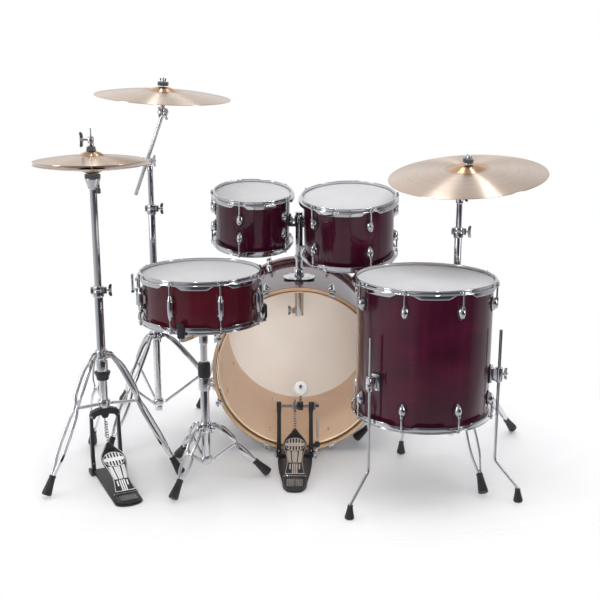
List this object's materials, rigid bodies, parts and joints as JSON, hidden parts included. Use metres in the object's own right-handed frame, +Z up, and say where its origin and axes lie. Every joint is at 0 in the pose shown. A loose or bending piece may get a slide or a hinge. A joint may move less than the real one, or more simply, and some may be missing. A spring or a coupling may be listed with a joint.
{
  "type": "acoustic drum kit",
  "caption": "Acoustic drum kit: bass drum with rack toms, floor tom, snare, hi-hat, crash and ride cymbals on folding stands, with foot pedals.",
  "frame": {"origin": "on the floor under the middle of the kit", "axes": "+X to the drummer's right, +Y away from the drummer, +Z up"},
  "size_m": [1.6081, 1.05, 1.2651],
  "materials": {
    "plum_lacquer": "clear high-gloss lacquer over plum-stained maple",
    "burgundy_lacquer": "clear high-gloss lacquer over burgundy-stained maple",
    "hoop_maple": "amber satin lacquer on bent maple",
    "coated_head": "matt white coating on clear film",
    "chrome": "bright chrome plate",
    "cymbal_bronze": "lathed bronze, satin grooves",
    "black_metal": "satin black powder coat",
    "beater_plastic": "white plastic and felt",
    "steel_wire": "bare drawn wire"
  },
  "bodies": {
    "kit_base": {"bass_drum_shell": "plum_lacquer", "bass_drum_hoops": "hoop_maple", "bass_drum_heads": "coated_head", "bass_drum_lugs": "chrome", "bass_drum_claws": "chrome", "tom_mount_receiver": "chrome", "floor_tom_shell": "plum_lacquer", "floor_tom_hoops": "chrome", "floor_tom_heads": "coated_head", "floor_tom_lugs": "chrome", "hihat_stand_base": "chrome", "hihat_pedal_frame": "black_metal", "crash_base_tube": "chrome", "ride_stand_base": "chrome", "snare_stand_base": "chrome", "bass_pedal_frame": "black_metal", "bass_pedal_spring": "steel_wire"},
    "bass_spur_left_body": {"bass_spur_left": "chrome"},
    "bass_spur_right_body": {"bass_spur_right": "chrome"},
    "floor_tom_leg_left_body": {"floor_tom_leg_left": "chrome"},
    "floor_tom_leg_right_body": {"floor_tom_leg_right": "chrome"},
    "floor_tom_leg_rear_body": {"floor_tom_leg_rear": "chrome"},
    "hihat_footboard_body": {"hihat_footboard": "black_metal"},
    "crash_leg_collar_body": {"crash_leg_collar": "chrome"},
    "crash_leg_1_body": {"crash_leg_1": "chrome"},
    "crash_leg_2_body": {"crash_leg_2": "chrome"},
    "crash_leg_3_body": {"crash_leg_3": "chrome"},
    "crash_strut_1_body": {"crash_strut_1": "chrome"},
    "crash_strut_2_body": {"crash_strut_2": "chrome"},
    "crash_strut_3_body": {"crash_strut_3": "chrome"},
    "crash_upper_tube_body": {"crash_upper_tube": "chrome"},
    "crash_boom_body": {"crash_boom": "chrome"},
    "crash_cymbal_body": {"crash_cymbal": "cymbal_bronze"},
    "ride_upper_tube_body": {"ride_upper_tube": "chrome"},
    "ride_cymbal_body": {"ride_cymbal": "cymbal_bronze"},
    "snare_upper_tube_body": {"snare_upper_tube": "chrome"},
    "snare_throw_off_body": {"snare_throw_off": "chrome"},
    "bass_footboard_body": {"bass_footboard": "black_metal"},
    "bass_beater_body": {"bass_beater": "beater_plastic"},
    "tom_post_body": {"tom_post": "chrome"},
    "high_tom": {"high_tom_shell": "plum_lacquer", "high_tom_hoops": "chrome", "high_tom_heads": "coated_head", "high_tom_lugs": "chrome", "high_tom_bracket": "chrome"},
    "mid_tom": {"mid_tom_shell": "plum_lacquer", "mid_tom_hoops": "chrome", "mid_tom_heads": "coated_head", "mid_tom_lugs": "chrome", "mid_tom_bracket": "chrome"},
    "hihat_upper": {"hihat_upper_tube": "chrome", "hihat_bottom_cymbal": "cymbal_bronze"},
    "hihat_pull": {"hihat_pull_rod": "chrome", "hihat_top_cymbal": "cymbal_bronze"},
    "snare_cradle": {"snare_basket": "chrome", "snare_shell": "burgundy_lacquer", "snare_hoops": "chrome", "snare_heads": "coated_head", "snare_lugs": "chrome", "snare_wires_and_strainer": "steel_wire"}
  },
  "joints": [
    {"name": "bass_spur_left_fold", "type": "hinge", "parent": "kit_base", "child": "bass_spur_left_body", "pos_m": [-0.2705, 0.382, 0.3], "axis": [1, 0, 0], "range_deg": [0, 100]},
    {"name": "bass_spur_right_fold", "type": "hinge", "parent": "kit_base", "child": "bass_spur_right_body", "pos_m": [0.2905, 0.382, 0.3], "axis": [1, 0, 0], "range_deg": [0, 100]},
    {"name": "tom_post_height", "type": "slide", "parent": "kit_base", "child": "tom_post_body", "axis": [0, -0.0314, 0.9995], "range_m": [-0.03, 0.03]},
    {"name": "high_tom_tilt", "type": "hinge", "parent": "tom_post_body", "child": "high_tom", "pos_m": [-0.15064, 0.17881, 0.78749], "axis": [0.9995, 0.0241, -0.0213], "range_deg": [-10, 10]},
    {"name": "mid_tom_tilt", "type": "hinge", "parent": "tom_post_body", "child": "mid_tom", "pos_m": [0.17879, 0.11386, 0.77578], "axis": [0.925, -0.3772, -0.0454], "range_deg": [-10, 10]},
    {"name": "floor_tom_leg_left_height", "type": "slide", "parent": "kit_base", "child": "floor_tom_leg_left_body", "axis": [0, 0, 1], "range_m": [-0.02, 0.1]},
    {"name": "floor_tom_leg_right_height", "type": "slide", "parent": "kit_base", "child": "floor_tom_leg_right_body", "axis": [0, 0, 1], "range_m": [-0.02, 0.1]},
    {"name": "floor_tom_leg_rear_height", "type": "slide", "parent": "kit_base", "child": "floor_tom_leg_rear_body", "axis": [0, 0, 1], "range_m": [-0.02, 0.1]},
    {"name": "hihat_height", "type": "slide", "parent": "kit_base", "child": "hihat_upper", "axis": [0, 0, 1], "range_m": [-0.1, 0.08]},
    {"name": "hihat_pull_down", "type": "slide", "parent": "hihat_upper", "child": "hihat_pull", "axis": [0, 0, 1], "range_m": [-0.008, 0], "stiffness_N_per_m": 3000, "springref_m": 0.02},
    {"name": "hihat_pedal_press", "type": "hinge", "parent": "kit_base", "child": "hihat_footboard_body", "pos_m": [-0.52349, -0.37657, 0.02], "axis": [0.9033, 0.4289, 0], "range_deg": [-2.34, 0]},
    {"name": "crash_leg_fold", "type": "slide", "parent": "kit_base", "child": "crash_leg_collar_body", "axis": [0, 0, 1], "range_m": [0, 0.105]},
    {"name": "crash_leg_1_swing", "type": "hinge", "parent": "crash_leg_collar_body", "child": "crash_leg_1_body", "pos_m": [-0.4791, 0.24554, 0.356], "axis": [-0.0819, 0.9966, 0], "range_deg": [0, 28.33]},
    {"name": "crash_strut_1_swing", "type": "hinge", "parent": "crash_leg_1_body", "child": "crash_strut_1_body", "pos_m": [-0.34755, 0.25636, 0.20067], "axis": [-0.0819, 0.9966, 0], "range_deg": [-65.57, 0]},
    {"name": "crash_leg_2_swing", "type": "hinge", "parent": "crash_leg_collar_body", "child": "crash_leg_2_body", "pos_m": [-0.52765, 0.26849, 0.356], "axis": [-0.8221, -0.5693, 0], "range_deg": [0, 28.33]},
    {"name": "crash_strut_2_swing", "type": "hinge", "parent": "crash_leg_2_body", "child": "crash_strut_2_body", "pos_m": [-0.60279, 0.37701, 0.20067], "axis": [-0.8221, -0.5693, 0], "range_deg": [-65.57, 0]},
    {"name": "crash_leg_3_swing", "type": "hinge", "parent": "crash_leg_collar_body", "child": "crash_leg_3_body", "pos_m": [-0.52325, 0.21497, 0.356], "axis": [0.9041, -0.4274, 0], "range_deg": [0, 28.33]},
    {"name": "crash_strut_3_swing", "type": "hinge", "parent": "crash_leg_3_body", "child": "crash_strut_3_body", "pos_m": [-0.57966, 0.09563, 0.20067], "axis": [0.9041, -0.4274, 0], "range_deg": [-65.57, 0]},
    {"name": "crash_height", "type": "slide", "parent": "kit_base", "child": "crash_upper_tube_body", "axis": [0, 0, 1], "range_m": [-0.05, 0.15]},
    {"name": "crash_boom_angle", "type": "hinge", "parent": "crash_upper_tube_body", "child": "crash_boom_body", "pos_m": [-0.5185, 0.22828, 0.98], "axis": [0.5, 0.866, 0], "range_deg": [-15, 20]},
    {"name": "crash_cymbal_swing", "type": "hinge", "parent": "crash_boom_body", "child": "crash_cymbal_body", "pos_m": [-0.447, 0.18143, 1.23364], "axis": [1, 0, 0], "range_deg": [-6, 6], "stiffness_Nm_per_rad": 3},
    {"name": "ride_height", "type": "slide", "parent": "kit_base", "child": "ride_upper_tube_body", "axis": [0, 0, 1], "range_m": [-0.02, 0.12]},
    {"name": "ride_cymbal_swing", "type": "hinge", "parent": "ride_upper_tube_body", "child": "ride_cymbal_body", "pos_m": [0.5459, -0.04282, 0.99539], "axis": [1, 0, 0], "range_deg": [-5, 5], "stiffness_Nm_per_rad": 4},
    {"name": "snare_height", "type": "slide", "parent": "kit_base", "child": "snare_upper_tube_body", "axis": [0, 0, 1], "range_m": [-0.04, 0.12]},
    {"name": "snare_tilt", "type": "hinge", "parent": "snare_upper_tube_body", "child": "snare_cradle", "pos_m": [-0.29, -0.218, 0.5], "axis": [1, 0, 0], "range_deg": [-10, 10]},
    {"name": "snare_throw_off_lever", "type": "hinge", "parent": "snare_cradle", "child": "snare_throw_off_body", "pos_m": [-0.4968, -0.252, 0.633], "axis": [0, -1, 0], "range_deg": [0, 70]},
    {"name": "bass_pedal_press", "type": "hinge", "parent": "kit_base", "child": "bass_footboard_body", "pos_m": [-0.004, -0.249, 0.019], "axis": [-1, 0, 0], "range_deg": [0, 6.6]},
    {"name": "bass_beater_swing", "type": "hinge", "parent": "kit_base", "child": "bass_beater_body", "pos_m": [-0.004, -0.037, 0.181], "axis": [-1, 0, 0], "range_deg": [0, 58], "stiffness_Nm_per_rad": 0.6, "springref_deg": -45.84, "deforming": ["bass_pedal_spring"]}
  ],
  "couplings": [
    {"joint": "hihat_pedal_press", "follows": "hihat_pull_down", "rad_per_m": 4.993},
    {"joint": "crash_leg_1_swing", "follows": "crash_leg_fold", "rad_per_m": 4.6931},
    {"joint": "crash_strut_1_swing", "follows": "crash_leg_fold", "rad_per_m": -10.883},
    {"joint": "crash_leg_2_swing", "follows": "crash_leg_fold", "rad_per_m": 4.6931},
    {"joint": "crash_strut_2_swing", "follows": "crash_leg_fold", "rad_per_m": -10.883},
    {"joint": "crash_leg_3_swing", "follows": "crash_leg_fold", "rad_per_m": 4.6931},
    {"joint": "crash_strut_3_swing", "follows": "crash_leg_fold", "rad_per_m": -10.883},
    {"joint": "bass_beater_swing", "follows": "bass_pedal_press", "ratio": 8.7}
  ]
}
